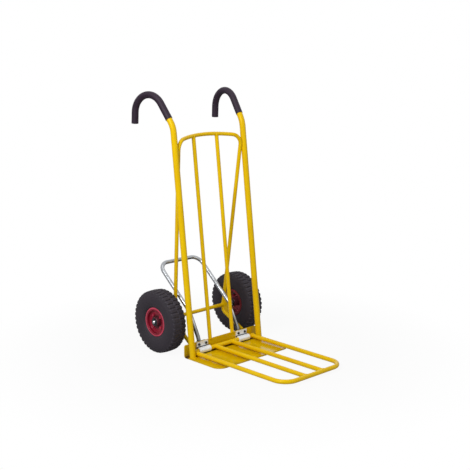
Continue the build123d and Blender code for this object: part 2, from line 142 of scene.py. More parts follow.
# Stove enamel on steel: sprayed and baked, so a smooth gloss with a soft orange peel,
# warmer where the coat is thick, and dulled in faint patches by handling
def stoveEnamel(name, s):
    material, tree, shader, place = newMaterial(name)
    thickness = spread(tree, noiseOf(tree, place, s["coatMm"], detail=3.0), noiseSpan)
    colour = mixColour(tree, thickness, hexColour(s["thin"]), hexColour(s["thick"]))
    rubbed = noiseOf(tree, place, s["rubbedMm"], detail=5.0, roughness=0.65)
    rough = spread(tree, rubbed, span=(0.35, 0.7), target=(s["gloss"], s["dull"]))
    peel = noiseOf(tree, place, s["peelMm"], detail=1.0)
    setSurface(tree, shader, place, s, colour, rough, peel, s["peelDepthMm"])
    shader.inputs["Specular IOR Level"].default_value = s["sheen"]
    shader.inputs["Specular Tint"].default_value = hexColour(s["glint"])
    return material


# peel is drawn at 4 mm, about twice the real 2 mm, so that it shows
yellowEnamel = stoveEnamel("yellowStoveEnamel", {
    "thin": "E8C004", "thick": "E0B402", "coatMm": 90, "rubbedMm": 45, "gloss": 0.28, "dull": 0.4,
    "sheen": 0.42, "glint": "FFE684", "peelMm": 4.0, "peelDepthMm": 0.02, "edgeMm": 0.9})
# the toe plate's coat has flowed out smoother; its colour is darker than the yellow as painted shade, and a
# painted shadow darkens it under the pivot tube
plateEnamelPaintedShade = stoveEnamel("plateStoveEnamelPaintedShade", {
    "thin": "DCB602", "thick": "CAA400", "coatMm": 60, "rubbedMm": 60, "gloss": 0.1, "dull": 0.2,
    "sheen": 0.5, "glint": "FFF0B0", "peelMm": 9.0, "peelDepthMm": 0.02, "edgeMm": 0.9, "tints": [
        # painted shadow: dark within 9 mm of a line along X at y 22 mm, z 6 mm, under the pivot tube, fading
        # out by 13 mm
        ((22, 6), ((0, "5A4434"), (9, "6A5442"), (13, "FFFFFF"), (16, "FFFFFF")))]})
# the red coat of the wheels, whose tints go by the distance from the axle
redCoat = {"coatMm": 50, "rubbedMm": 25, "gloss": 0.18, "dull": 0.3, "sheen": 0.32, "glint": "FFC8D0",
           "peelMm": 4.0, "peelDepthMm": 0.02, "edgeMm": 0.7}
axleLine = wheelAt["left"][1:]
redEnamel = stoveEnamel("redStoveEnamel", {**redCoat, "thin": "A82840", "thick": "8C1C32"})
# outer rim halves: near black round the axle out to 19 mm, a painted shade darkening the well, and the lip
# left at the paler base red as a painted highlight
rimEnamelPaintedLight = stoveEnamel("rimStoveEnamelPaintedLight", {
    **redCoat, "thin": "D24A64", "thick": "B83C52", "tints": [(axleLine, (
        (0, "302A2C"), (19, "302A2C"), (26, "6E4A54"), (37, "C686A0"), (44, "C686A0"), (47, "A66A80"),
        (55, "AA7086"), (57, "FFFFFF"), (61, "FFFFFF")))]})
# the hubs are a dark red
hubEnamel = stoveEnamel("darkRedHubEnamel", {
    "thin": "64303A", "thick": "502830", "coatMm": 20, "rubbedMm": 12, "gloss": 0.22, "dull": 0.4,
    "sheen": 0.3, "glint": "FFE0E4", "peelMm": 3.0, "peelDepthMm": 0.02, "edgeMm": 0.7})
# the rim halves towards the frame: a rougher coat, paler and pinker than the other reds as painted light in
# their deep dish, and darker from 46 mm out as painted shade on the lip
innerRimEnamelPaintedLight = stoveEnamel("innerRimStoveEnamelPaintedLight", {
    **redCoat, "thin": "E08088", "thick": "C87078", "gloss": 0.3, "dull": 0.45, "sheen": 0.3, "tints": [
        (axleLine, ((0, "FFFFFF"), (46, "FFFFFF"), (51, "885058"), (61, "885058")))]})


# Bright zinc plate on steel: a pale grey metal with a fine grain, clouded where the bath ran
def zincPlate(name, s):
    material, tree, shader, place = newMaterial(name)
    cloud = noiseOf(tree, place, s["cloudMm"], detail=4.0, roughness=0.6)
    colour = mixColour(tree, spread(tree, cloud, noiseSpan), hexColour(s["bright"]), hexColour(s["clouded"]))
    rough = spread(tree, cloud, noiseSpan, target=(s["gloss"], s["dull"]))
    grit = noiseOf(tree, place, s["gritMm"], detail=2.0)
    setSurface(tree, shader, place, s, colour, rough, grit, s["gritDepthMm"])
    shader.inputs["Metallic"].default_value = s["metal"]
    return material


# painted shade: the zinc darkens within 140 mm of a floor line along X behind the toe plate, over the tilt
# bar's feet and lower legs
zinc = zincPlate("brightZincPaintedShadeLow", {
    "bright": "B2B5B9", "clouded": "A0A3A7", "cloudMm": 45, "gloss": 0.18, "dull": 0.26, "gritMm": 6.0,
    "gritDepthMm": 0.001, "edgeMm": 0.5, "metal": 1.0, "tints": [
        ((50, 0), ((0, "C2C0BA"), (60, "BCBAB4"), (95, "A8A6A0"), (140, "FFFFFF"), (150, "FFFFFF")))]})
# the straps: a near-white, barely metallic copy of the zinc whose paleness is painted light, with painted
# shade in the crease where the roll meets the leaf and a painted shadow where the roll lies over the plate
paleZincPaintedLight = zincPlate("paleZincPlatePaintedLight", {
    "bright": "F8FBFF", "clouded": "EAF0F6", "cloudMm": 30, "gloss": 0.28, "dull": 0.38, "gritMm": 2.0,
    "gritDepthMm": 0.006, "edgeMm": 0.6, "metal": 0.12, "tints": [
        ((29, 30), ((0, "302E2C"), (3, "383634"), (4.6, "FFFFFF"), (6, "FFFFFF"))),
        ((14, 6), ((0, "302E2C"), (5, "383634"), (7, "FFFFFF"), (9, "FFFFFF")))]})
blackSteel = zincPlate("blackOxideSteel", {
    "bright": "4A4C50", "clouded": "3A3C40", "cloudMm": 8, "gloss": 0.38, "dull": 0.5, "gritMm": 1.2,
    "gritDepthMm": 0.01, "edgeMm": 0.5, "metal": 1.0})


# Moulded rubber or plastic: matt, grained by the mould, paler at random where dust and handling have greyed
# it;
# in the grooves of a tread it is paler still, as painted light that lifts the shade between the lugs
def mouldedRubber(name, s):
    material, tree, shader, place = newMaterial(name)
    dust = noiseOf(tree, place, s["dustMm"], detail=5.0, roughness=0.65)
    dusted = spread(tree, dust, span=(0.3, 0.75))
    colour = mixColour(tree, dusted, hexColour(s["clean"]), hexColour(s["dusty"]))
    # painted light: the grooves between the lugs are paler to lift their shade
    if "groove" in s:
        groove = addNode(tree, "Attribute", {}, attribute_name="groove")
        colour = mixColour(tree, groove.outputs["Fac"], colour, hexColour(s["groove"]))
    rough = spread(tree, dust, noiseSpan, target=(s["gloss"], s["dull"]))
    grain = noiseOf(tree, place, s["grainMm"], detail=3.0)
    setSurface(tree, shader, place, s, colour, rough, grain, s["grainDepthMm"])
    shader.inputs["IOR"].default_value = s["ior"]
    return material


# grains are drawn at two to three times their real size so that they show
gripPvc = mouldedRubber("dippedPvc", {
    "clean": "1E1020", "dusty": "28182A", "dustMm": 40, "gloss": 0.5, "dull": 0.64, "grainMm": 1.8,
    "grainDepthMm": 0.08, "edgeMm": 0.8, "ior": 1.36})
tyreRubber = mouldedRubber("vulcanisedRubber", {
    "clean": "1D1720", "dusty": "28212A", "dustMm": 35, "gloss": 0.6, "dull": 0.8, "grainMm": 1.6,
    "grainDepthMm": 0.1, "edgeMm": 0.8, "ior": 1.45, "groove": "3A353E"})
tubeRubber = mouldedRubber("butylRubber", {
    "clean": "1E1E20", "dusty": "2A2A2C", "dustMm": 20, "gloss": 0.4, "dull": 0.6, "grainMm": 1.0,
    "grainDepthMm": 0.05, "edgeMm": 0.5, "ior": 1.5})
blackPlastic = mouldedRubber("blackNylon", {
    "clean": "1C1C1F", "dusty": "2B2B2E", "dustMm": 15, "gloss": 0.3, "dull": 0.5, "grainMm": 0.8,
    "grainDepthMm": 0.03, "edgeMm": 0.5, "ior": 1.53})
bushNylon = mouldedRubber("castNylon", {
    "clean": "D8D3C4", "dusty": "C4BEAD", "dustMm": 12, "gloss": 0.35, "dull": 0.5, "grainMm": 0.8,
    "grainDepthMm": 0.02, "edgeMm": 0.4, "ior": 1.53})

# each slot's finish, then the nodes that have their own; the brace gussets take the toe plate's darker enamel
# as painted shade
finishes = {"yellow_paint": yellowEnamel, "grip_rubber": gripPvc, "zinc": zinc, "red_paint": redEnamel,
            "black_steel": blackSteel, "tyre_rubber": tyreRubber, "tube_rubber": tubeRubber,
            "black_plastic": blackPlastic, "bush_nylon": bushNylon}
ownFinishes = {"hinge_strap": paleZincPaintedLight, "brace_gusset": plateEnamelPaintedShade, "inner_rim": innerRimEnamelPaintedLight,
               "outer_rim": rimEnamelPaintedLight, "hub": hubEnamel}
for row in frame["record"]["subparts"]:
    mesh = nodes[row["node"]].data
    mesh.materials.clear()
    mesh.materials.append(finishes[row["material_slot"]])
for word in sides:
    for node, material in ownFinishes.items():
        nodes[word + "_" + node].data.materials[0] = material
nodes["toe_plate"].data.materials[0] = plateEnamelPaintedShade


# rows and columns of points become quads, closed on themselves where the shape is
def gridQuads(rows, cols, closeRows, closeCols, first):
    ids = first + np.arange(rows * cols).reshape(rows, cols)
    ids = np.vstack([ids, ids[:1]]) if closeRows else ids
    ids = np.hstack([ids, ids[:, :1]]) if closeCols else ids
    return np.stack([ids[:-1, :-1], ids[:-1, 1:], ids[1:, 1:], ids[1:, :-1]], -1).reshape(-1, 4)


# points nearer than this, in metres, are one point
mergeWithin = 1e-7


# several grids, each (points, closeRows, closeCols), become one piece that rides on a body;
# its edges stay sharp above an angle
def makePiece(name, grids, material, body, sharp, groove=None):
    points, quads, first = [], [], 0
    for grid, closeRows, closeCols in grids:
        points.append(grid.reshape(-1, 3))
        quads.append(gridQuads(grid.shape[0], grid.shape[1], closeRows, closeCols, first))
        first += grid.shape[0] * grid.shape[1]
    mesh = bpy.data.meshes.new(name)
    mesh.from_pydata(np.concatenate(points).tolist(), [], np.concatenate(quads).tolist())
    if groove is not None:
        mesh.attributes.new("groove", "FLOAT", "POINT").data.foreach_set("value", groove.ravel())
    shape = bmesh.new()
    shape.from_mesh(mesh)
    bmesh.ops.remove_doubles(shape, verts=shape.verts, dist=mergeWithin)
    bmesh.ops.recalc_face_normals(shape, faces=shape.faces)
    shape.to_mesh(mesh)
    shape.free()
    mesh.shade_smooth()
    mesh.set_sharp_from_angle(angle=radians(sharp))
    mesh.materials.append(material)
    piece = bpy.data.objects.new(name, mesh)
    bpy.context.scene.collection.objects.link(piece)
    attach(piece, body)
    return piece


def unit(vectors):
    return vectors / np.linalg.norm(vectors, axis=-1, keepdims=True)


def fullTurn(cuts):
    return np.linspace(0, 2 * pi, cuts, endpoint=False)


# Tyre: a section carried round the axle. Every point lies between the casing's section and the lugs' section,
# by a share that is 1 on a lug, 0 between lugs, and slopes with the lug's draft at its sides
tyreShape = {"lugs": 40, "lugHalf": 6.0, "draft": 1.6, "lugInner": 3.0, "innerDraft": 1.0, "crown": 127.8,
             "shoulder": (31.5, 124.6), "shoulderSlope": (13, -21), "widest": (38.2, 96.5),
             "widestSlopes": ((0, -29), (0, -36)), "lip": (26.9, 61.6), "lipSlope": (-28, -16),
             "seat": 50.95, "wall": 5.5, "tread": 9, "beadToe": 18.9, "lugTop": ((3, 132.8), (28, 131)),
             "lugSide": ((28, 131), (31, 129.2), (32.6, 126.8), (33.2, 124.6)), "lugFoot": 122.0,
             "rings": ((67.5, 0.7, 0.6), (112.0, 0.6, 0.5)), "grooveFrom": 0.3, "sharp": 50}


# a cubic between two points from its slopes at both
def hermite(p, pSlope, q, qSlope, t):
    t = t[:, None]
    return ((2 * t**3 - 3 * t**2 + 1) * p + (t**3 - 2 * t**2 + t) * pSlope
            + (3 * t**2 - 2 * t**3) * q + (t**3 - t**2) * qSlope)


def smooth(low, high, x):
    t = np.clip((x - low) / (high - low), 0, 1)
    return t * t * (3 - 2 * t)


def tyreSection(s):
    shoulder, widest, lip = (np.array(s[k], float) for k in ("shoulder", "widest", "lip"))
    # crown: a circle through both shoulders and the top, cut finest where the lugs begin
    rise = s["crown"] - shoulder[1]
    radius = (shoulder[0] ** 2 + rise ** 2) / (2 * rise)
    x = np.concatenate([[0], np.linspace(1.5, 6, 5), np.linspace(8, shoulder[0], 12)[:-1]])
    crown = np.stack([x, s["crown"] - radius + np.sqrt(radius ** 2 - x ** 2)], 1)
    # the side wall is cut finest at its two rings
    high = np.concatenate([np.linspace(0, 0.42, 6), np.linspace(0.45, 0.53, 7), [0.62, 0.74, 0.87]])
    low = np.concatenate([np.linspace(0, 0.69, 9), np.linspace(0.72, 0.8, 8), np.linspace(0.85, 1, 4)])
    above, below = s["widestSlopes"]
    upper = hermite(shoulder, s["shoulderSlope"], widest, above, high)
    lower = hermite(widest, below, lip, s["lipSlope"], low)
    half = np.vstack([crown, upper, lower])
    # lugs: a flat top over the crown, then a side that comes down to the casing at the foot, at even shares
    top = np.stack([half[:, 0], np.interp(half[:, 0], *np.array(s["lugTop"]).T)], 1)
    onTop = (half[:, 0] <= s["lugTop"][1][0]) & (half[:, 1] > shoulder[1])
    onSide = ~onTop & (half[:, 1] >= s["lugFoot"])
    foot = half[onSide][-1]
    side = np.vstack([s["lugSide"], foot])
    share = np.concatenate([[0], np.cumsum(np.linalg.norm(np.diff(side, axis=0), axis=1))])
    even = np.linspace(0, share[-1], onSide.sum() + 1)[1:]
    lugs = np.where(onTop[:, None], top, half)
    lugs[onSide] = np.stack([np.interp(even, share, side[:, 0]), np.interp(even, share, side[:, 1])], 1)
    # two thin raised rings moulded in the side wall
    flank = np.gradient(half, axis=0)
    flank = unit(np.stack([-flank[:, 1], flank[:, 0]], 1))
    for place, width, height in s["rings"]:
        swell = height * np.exp(-((half[:, 1] - place) / width) ** 2) * (half[:, 0] > lip[0])
        half = half + flank * swell[:, None]
        lugs = lugs + flank * swell[:, None]
    inside = np.array([
        [lip[0], s["seat"]], [s["beadToe"], s["seat"]], [s["beadToe"], lip[1]],
        [widest[0] - s["wall"], widest[1]], [shoulder[0] - s["wall"], shoulder[1] - s["tread"]],
        [0, s["crown"] - s["tread"]]])
    return np.vstack([half, inside]), np.vstack([lugs, inside])


def tyreGrid(word, s):
    casing, lugs = tyreSection(s)
    flip = np.array([-1, 1])
    casing = np.vstack([casing, casing[-2:0:-1] * flip])
    lugs = np.vstack([lugs, lugs[-2:0:-1] * flip])
    pitch = 2 * pi / s["lugs"]
    arc = pitch * s["crown"]
    # places round one pitch: four on each slope of the lugs of both rows, and one in each middle
    slope = (s["lugHalf"] + s["draft"] * np.array([-0.55, -0.2, 0.2, 0.55])) / arc
    step = np.sort(np.concatenate([[0, 0.5], slope, 1 - slope, 0.5 - slope, 0.5 + slope]))
    angle = ((np.arange(s["lugs"])[:, None] + step) * pitch).ravel()
    # arc from the middle of the nearest lug, half a pitch apart in the two rows
    outer = np.abs(angle % pitch - pitch / 2) * s["crown"]
    away = np.where(casing[None, :, 0] > 0, outer[:, None], arc / 2 - outer[:, None])
    share = smooth(s["lugHalf"] + s["draft"] / 2, s["lugHalf"] - s["draft"] / 2, away)
    begins, full = s["lugInner"] - s["innerDraft"], s["lugInner"] + s["innerDraft"]
    share = share * smooth(begins, full, np.abs(casing[None, :, 0]))
    section = casing[None] + share[..., None] * (lugs - casing)[None]
    turn = angle[:, None]
    x = section[..., 0] * sides[word]
    grid = np.stack([x, section[..., 1] * np.sin(turn), section[..., 1] * np.cos(turn)], -1)
    # painted light: the tread is marked paler where it falls below its lugs, to lift the shade in the grooves
    groove = (1 - share) * (np.linalg.norm(lugs - casing, axis=1) > s["grooveFrom"])
    return (grid + wheelAt[word]) * mm, groove


for word in sides:
    grid, groove = tyreGrid(word, tyreShape)
    tyre = makePiece(word + "TyreMoulding", [(grid, True, True)], tyreRubber, word + "_wheel",
                     tyreShape["sharp"], groove)
    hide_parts(word + "_tyre")
print("tyres moulded:", grid.shape)


# Weld beads: a circle carried along the joint. It swells once for each ripple of the weld pool, the ripples
# lean back as crescents, and an open bead closes to a point at both ends
weld = {"radius": 2.1, "pitch": 3.0, "ripple": 0.22, "lag": 0.3, "around": 14, "step": 0.5, "leastOut": 2.6,
        "sharp": 60}


def weldGrid(path, closed, reference):
    way = np.roll(path, -1, 0) - np.roll(path, 1, 0) if closed else np.gradient(path, axis=0)
    way = unit(way)
    out = unit(reference - way * (way @ np.array(reference))[:, None])
    over = np.cross(way, out)
    step = np.linalg.norm(np.roll(path, -1, 0) - path, axis=1)
    run = np.cumsum(step) - step
    length = step.sum() if closed else run[-1]
    ripples = max(2, round(length / weld["pitch"]))
    phi = fullTurn(weld["around"])
    wave = np.abs(np.sin(pi * (run[:, None] / length * ripples + weld["lag"] * np.cos(phi))))
    radius = weld["radius"] * (1 - weld["ripple"] + weld["ripple"] * wave)
    if not closed:
        fromEnd = np.minimum(run, length - run) / (2 * weld["radius"])
        radius = radius * np.sqrt(1 - (1 - np.clip(fromEnd, 0, 1)) ** 2)[:, None]
    ring = np.cos(phi)[:, None] * out[:, None] + np.sin(phi)[:, None] * over[:, None]
    return (path[:, None] + radius[..., None] * ring) * mm, closed, True


# points round a tube from its axis: u and v lie across it, u as near to a wanted direction as can be
def tubeRing(way, radius, towards, angles):
    way = unit(np.array(way, float))
    u = unit(np.array(towards, float) - way * (way @ np.array(towards, float)))
    v = np.cross(way, u)
    return radius * (np.cos(angles)[:, None] * u + np.sin(angles)[:, None] * v), way


def sweepAngles(span, radius):
    cuts = int(radians(span) * radius / weld["step"])
    if span == 360:
        return fullTurn(cuts)
    return np.linspace(-radians(span / 2), radians(span / 2), cuts)


# where a tube ends on a flat: go along the tube from each point of its ring until the flat is met
def footBead(point, way, radius, towards, flat, normal, span):
    ring, way = tubeRing(way, radius, towards, sweepAngles(span, radius))
    start = np.array(point) + ring
    along = ((np.array(flat) - start) @ np.array(normal, float)) / (way @ np.array(normal, float))
    return weldGrid(start + along[:, None] * way, span == 360, way)


# where a tube ends on another tube: the first place along it that is one main radius from the main axis,
# which is the smaller root of a quadratic equation
def saddleBead(point, way, radius, towards, mainPoint, mainWay, mainRadius, span):
    ring, way = tubeRing(way, radius, towards, sweepAngles(span, radius))
    mainWay = unit(np.array(mainWay, float))
    start = np.array(point) + ring
    gap = start - np.array(mainPoint)
    across = gap - (gap @ mainWay)[:, None] * mainWay
    slope = way - (way @ mainWay) * mainWay
    half = across @ slope
    root = np.maximum(half ** 2 - (slope @ slope) * ((across ** 2).sum(1) - mainRadius ** 2), 0)
    along = (-half - np.sqrt(root)) / (slope @ slope)
    return weldGrid(start + along[:, None] * way, span == 360, way)


# the groove between two tubes that run side by side, in front of or behind the line that joins their axes
def grooveBead(low, high, railAt, legAt, railRadius, legRadius, face):
    height = np.linspace(low, high, int((high - low) / weld["step"]))[:, None]
    rail, leg = railAt(height), legAt(height)
    between = leg - rail
    apart = np.linalg.norm(between, axis=1, keepdims=True)
    share = (railRadius ** 2 - legRadius ** 2 + apart ** 2) / (2 * apart)
    out = np.sqrt(np.maximum(railRadius ** 2 - share ** 2, weld["leastOut"] ** 2))
    across = np.cross(np.array([0, 0, 1.0]), unit(between))
    across = across * np.sign(across[:, 1:2]) * face
    return weldGrid(rail + share * unit(between) + out * across, False, across.mean(0))


# places in mm for the right half of the frame
backFrame = {"railX": 191.5, "railRadius": 12.7, "railSpan": 250, "lean": tan(radians(6.5)), "plateTop": 6,
             "tube": 8, "axle": (139, 173, 133), "stubX": 200, "bowWeld": (172.2, 99.28, 845),
             "bowBead": (828, 860), "bowWay": (1, -0.179, -0.058), "strutBend": (137.88, 175.49, 109),
             "strutFoot": (152, 39, 26), "slatFoot": (64, 36, 53), "slatTop": (64, 131.27, 897.77),
             "slatOval": (7.4, 4.2), "slatCuts": 96, "gussetRun": (21, 77), "gussetHalf": 2}


def backWelds(side, b):
    places = ("axle", "bowWeld", "bowWay", "strutBend", "strutFoot", "slatFoot", "slatTop")
    axle, bowWeld, bowWay, strutBend, strutFoot, slatFoot, slatTop = (
        np.array(b[key]) * np.array([side, 1, 1]) for key in places)
    leg, strut, slat = bowWeld - axle, strutFoot - strutBend, slatTop - slatFoot
    tube, railRadius, railX = b["tube"], b["railRadius"], side * b["railX"]
    axleY, axleZ = axle[1:]
    upward = (0, 0, 1)

    def railAt(z):
        return np.hstack([z * 0 + railX, z * b["lean"], z])

    def legAt(z):
        return axle + leg * ((z - axleZ) / leg[2])

    turn = fullTurn(b["slatCuts"])
    wide, deep = b["slatOval"]
    slatRing = slatFoot + np.stack([wide * np.cos(turn), deep * np.sin(turn), 0 * turn], 1)
    # beads on both faces of the gusset, along the leg and along the strut
    up, down = unit(leg), unit(strut)
    face = unit(np.cross(up, down)) * b["gussetHalf"]
    low, high = b["gussetRun"]
    run = np.linspace(low, high, int((high - low) / weld["step"]))[:, None]
    gusset = []
    for way, other in ((up, down), (down, up)):
        off = unit(other - way * (way @ other)) * tube
        gusset += [weldGrid(strutBend + run * way + off + face * hand, False, off) for hand in (-1, 1)]
    return gusset + [
        footBead((railX, 0, 0), (0, b["lean"], 1), railRadius, (-side, 0, 0), (0, 0, b["plateTop"]), upward,
                 b["railSpan"]),
        grooveBead(*b["bowBead"], railAt, legAt, railRadius, tube, -1),
        grooveBead(*b["bowBead"], railAt, legAt, railRadius, tube, 1),
        weldGrid(slatRing, True, upward),
        saddleBead(slatFoot, slat, tube, (0, -1, 0), slatTop, bowWay, tube, 360),
        footBead(strutBend, strut, tube, upward, (0, strutFoot[1], 0), (0, 1, 0), 360),
        saddleBead((0, axleY, axleZ), (side, 0, 0), tube, upward, axle, leg, tube, 360),
        saddleBead((side * b["stubX"], axleY, axleZ), (-side, 0, 0), tube, upward, axle, leg, tube, 360)]


makePiece("backFrameWelds", backWelds(-1, backFrame) + backWelds(1, backFrame), yellowEnamel, "frame",
          weld["sharp"])

# load frame: the underside of each joint is left clear, because the tubes lie close over the toe plate
loadFrame = {"hoopX": 167.5, "barX": 47.3, "tube": 9, "pivot": jointAt["load_frame_fold"], "middleY": -100,
             "frontY": -498.5, "span": 250}


def loadWelds(side, f):
    tube, pivot = f["tube"], f["pivot"]
    front = (0, f["frontY"], pivot[2])
    joints = ((f["hoopX"], 1, pivot), (f["barX"], 1, pivot), (f["barX"], -1, front))
    return [saddleBead((side * x, f["middleY"], pivot[2]), (0, way, 0), tube, (0, 0, 1), main, (1, 0, 0), tube,
                       f["span"]) for x, way, main in joints]


makePiece("loadFrameWelds", loadWelds(-1, loadFrame) + loadWelds(1, loadFrame), yellowEnamel, "load_frame",
          weld["sharp"])

# tilt bar: straight beads up both sides of each leg, on its foot plate
tiltBar = {"x": 113, "beadOut": 4.6, "plateRear": 44, "low": 10, "high": 39}


def tiltWelds(t):
    height = np.linspace(t["low"], t["high"], int((t["high"] - t["low"]) / weld["step"]))
    even = height * 0
    lines = [np.stack([even + side * t["x"] + edge * t["beadOut"], even + t["plateRear"], height], 1)
             for side in (-1, 1) for edge in (-1, 1)]
    return [weldGrid(line, False, (0, 1, 0)) for line in lines]


makePiece("tiltBarWelds", tiltWelds(tiltBar), zinc, "frame", weld["sharp"])
print("welds laid")


# rings of (radius, distance) round an axis
def axisGrid(centre, way, phi, rows):
    radius = np.array([r for r, a in rows])
    along = np.array([a for r, a in rows])
    way = unit(np.array(way, float))
    upright = abs(way[2]) > 0.9
    u = unit(np.cross(way, (1.0, 0.0, 0.0) if upright else (0.0, 0.0, 1.0)))
    v = np.cross(way, u)
    ring = np.cos(phi)[:, None] * u + np.sin(phi)[:, None] * v
    return (np.array(centre) + radius[..., None] * ring + along[..., None] * way) * mm


# Hexagon with a conical chamfer: its radius is that of a hexagon, and its side ends where a cone
# from the round top face cuts it
hexagon = {"cuts": 72, "faceShare": 0.96, "chamfer": 30, "nutPlay": 0.05, "sharp": 25}


def hexGrid(centre, way, flats, height, bothFaces, bore):
    phi = fullTurn(hexagon["cuts"])
    even = phi * 0
    corner = flats / 2 / np.cos((phi + pi / 6) % (pi / 3) - pi / 6)
    top = flats / 2 * hexagon["faceShare"]
    drop = (corner - top) * tan(radians(hexagon["chamfer"]))
    low = drop if bothFaces else even
    flatLow = even + top if bothFaces else corner
    rows = [(even + bore, even), (flatLow, even), (corner, low), (corner, height - drop),
            (even + top, even + height), (even + bore, even + height)]
    return axisGrid(centre, way, phi, rows), bore > 0, True


# Threaded bar: the radius falls by a triangle wave once for each pitch along it, turning with the angle
thread = {"cuts": 32, "cutsPerPitch": 8, "depth": 0.61, "endChamfer": 0.6}


def threadGrid(centre, way, radius, plain, length, pitch):
    phi = fullTurn(thread["cuts"])
    even = phi * 0
    turns = np.linspace(plain, length - pitch / 2, int((length - plain) / pitch * thread["cutsPerPitch"]))
    along = np.concatenate([[0, plain], turns, [length]])
    wave = np.abs(((along[:, None] / pitch - phi / (2 * pi)) % 1) * 2 - 1)
    cut = smooth(plain, plain + pitch, along) * (along < length) * thread["depth"] * pitch
    chamfer = (along >= length) * thread["endChamfer"] * pitch
    rows = [(even, even)]
    rows += [(radius - c * w - e, even + a) for a, w, c, e in zip(along, wave, cut, chamfer)]
    rows += [(even, even + length)]
    return axisGrid(centre, way, phi, rows), False, True


# at each place a bolt, its head on one side and its thread on the other
def boltGrids(places, way, s):
    return [grid for place in places for grid in (
        hexGrid(place, way, s["flats"], s["head"], False, 0),
        threadGrid(place, -way, s["radius"], s["plain"], s["length"], s["pitch"]))]


def nutGrids(places, way, s):
    bore = s["radius"] + hexagon["nutPlay"]
    return [hexGrid(place, way, s["flats"], s["nut"], True, bore) for place in places]


hingeBolt = {"x": (-132, -94, 94, 132), "z": 43, "face": 29, "footRear": 44, "flats": 10, "head": 4, "nut": 5,
             "radius": 3, "length": 22, "plain": 12, "pitch": 1.0}
rearward = np.array([0, 1, 0])
heads = [(x, hingeBolt["face"], hingeBolt["z"]) for x in hingeBolt["x"]]
ends = [(x, hingeBolt["footRear"], hingeBolt["z"]) for x in hingeBolt["x"]]
bolts = makePiece("hingeHexBolts", boltGrids(heads, -rearward, hingeBolt), blackSteel, "frame",
                  hexagon["sharp"])
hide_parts("hinge_bolts")
nuts = makePiece("hingeHexNuts", nutGrids(ends, rearward, hingeBolt), blackSteel, "frame",
                 hexagon["sharp"])
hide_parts("hinge_nuts")

rimBolt = {"circle": 33, "count": 4, "sheet": 2, "flats": 13, "head": 5.3, "nut": 6.5, "radius": 4,
           "length": 12.5, "plain": 5, "pitch": 1.25}
hubBead = {"radius": 19.7, "cuts": 240}
for word, side in sides.items():
    body = word + "_wheel"
    # the joint of the two rim halves is the inner end of the outer half
    outward = np.array([side, 0, 0])
    sheet = outward * rimBolt["sheet"]
    middle = wheelAt[word].copy()
    middle[0] = side * np.abs(np.array(boxOf(word + "_outer_rim"))[:, 0]).min()
    turns = (np.arange(rimBolt["count"]) + 0.5) * 2 * pi / rimBolt["count"]
    places = middle + rimBolt["circle"] * np.stack([turns * 0, np.sin(turns), np.cos(turns)], 1)
    bolts = makePiece(word + "RimHexBolts", boltGrids(places + sheet, outward, rimBolt), redEnamel, body,
                      hexagon["sharp"])
    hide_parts(word + "_rim_bolts")
    nuts = makePiece(word + "RimHexNuts", nutGrids(places - sheet, -outward, rimBolt), redEnamel, body,
                     hexagon["sharp"])
    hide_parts(word + "_rim_nuts")
    # a bead round the hub on the open face of each half
    turn = fullTurn(hubBead["cuts"])
    ring = np.stack([turn * 0, np.cos(turn), np.sin(turn)], 1) * hubBead["radius"]
    beads = [weldGrid(middle + sheet * face + ring, True, (1, 0, 0)) for face in (-1, 1)]
    makePiece(word + "HubWelds", beads, rimEnamelPaintedLight, body, weld["sharp"])
print("bolts and nuts cut, hubs welded")


# Split pin: one round wire, up one leg, round the eye and down the other leg; both ends are spread
splitPin = {"wire": 1.05, "around": 12, "halfWidth": 2, "legApart": 1.05, "eye": 3.5, "eyeTurn": 163,
            "eyeUp": 16.4, "eyeCuts": 40, "legCuts": 30, "bend": -9.5, "end": -14, "spread": 3.6, "sharp": 60}


def pinPath(p):
    turn = np.radians(np.linspace(-p["eyeTurn"], p["eyeTurn"], p["eyeCuts"]))
    eye = np.stack([p["eye"] * np.sin(turn), p["eyeUp"] + p["eye"] * np.cos(turn)], 1)
    drop = np.linspace(0, 1, p["legCuts"])[:, None]
    leg = np.array([p["legApart"], p["bend"]]) * (1 - drop) + eye[-1] * drop
    tail = np.hstack([p["legApart"] + p["spread"] * drop[::-1] ** 2, p["end"] + (p["bend"] - p["end"]) * drop])
    right = np.vstack([tail[:-1], leg[:-1]])
    return np.vstack([right * (-1, 1), eye, right[::-1]])


# a wire along a path that lies across the axle, closed to a point at both ends
def wireGrid(path, radius, around):
    way = unit(np.gradient(path, axis=0))
    across = np.array([1.0, 0, 0])
    over = np.cross(way, across)
    phi = fullTurn(around)
    size = np.full(len(path), radius)
    size[[0, -1]] = 0
    ring = np.cos(phi)[:, None] * across + np.sin(phi)[:, None] * over[:, None]
    return (path[:, None] + size[:, None, None] * ring) * mm, False, True


pinX = boxOf("split_pins")[1][0] - splitPin["halfWidth"]
flat = pinPath(splitPin)
pinGrids = []
for word, side in sides.items():
    middle = np.array([side * pinX, *wheelAt[word][1:]])
    path = middle + np.column_stack([flat[:, 0] * 0, flat])
    pinGrids.append(wireGrid(path, splitPin["wire"], splitPin["around"]))
pins = makePiece("bentSplitPins", pinGrids, blackSteel, "frame", splitPin["sharp"])
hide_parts("split_pins")


# Valve cap: a cylinder whose radius dips once for each flute, closed by a dome
valveCap = {"flutes": 18, "fluteCuts": 6, "fluteDepth": 0.45, "bore": 4.05, "roof": 1.5, "mouth": (0.3, 0.4),
            "dome": 1.4, "domeShare": 0.93, "domeFoot": 0.5, "domeCuts": (0.4, 0.8, 1.2, pi / 2), "sharp": 40}


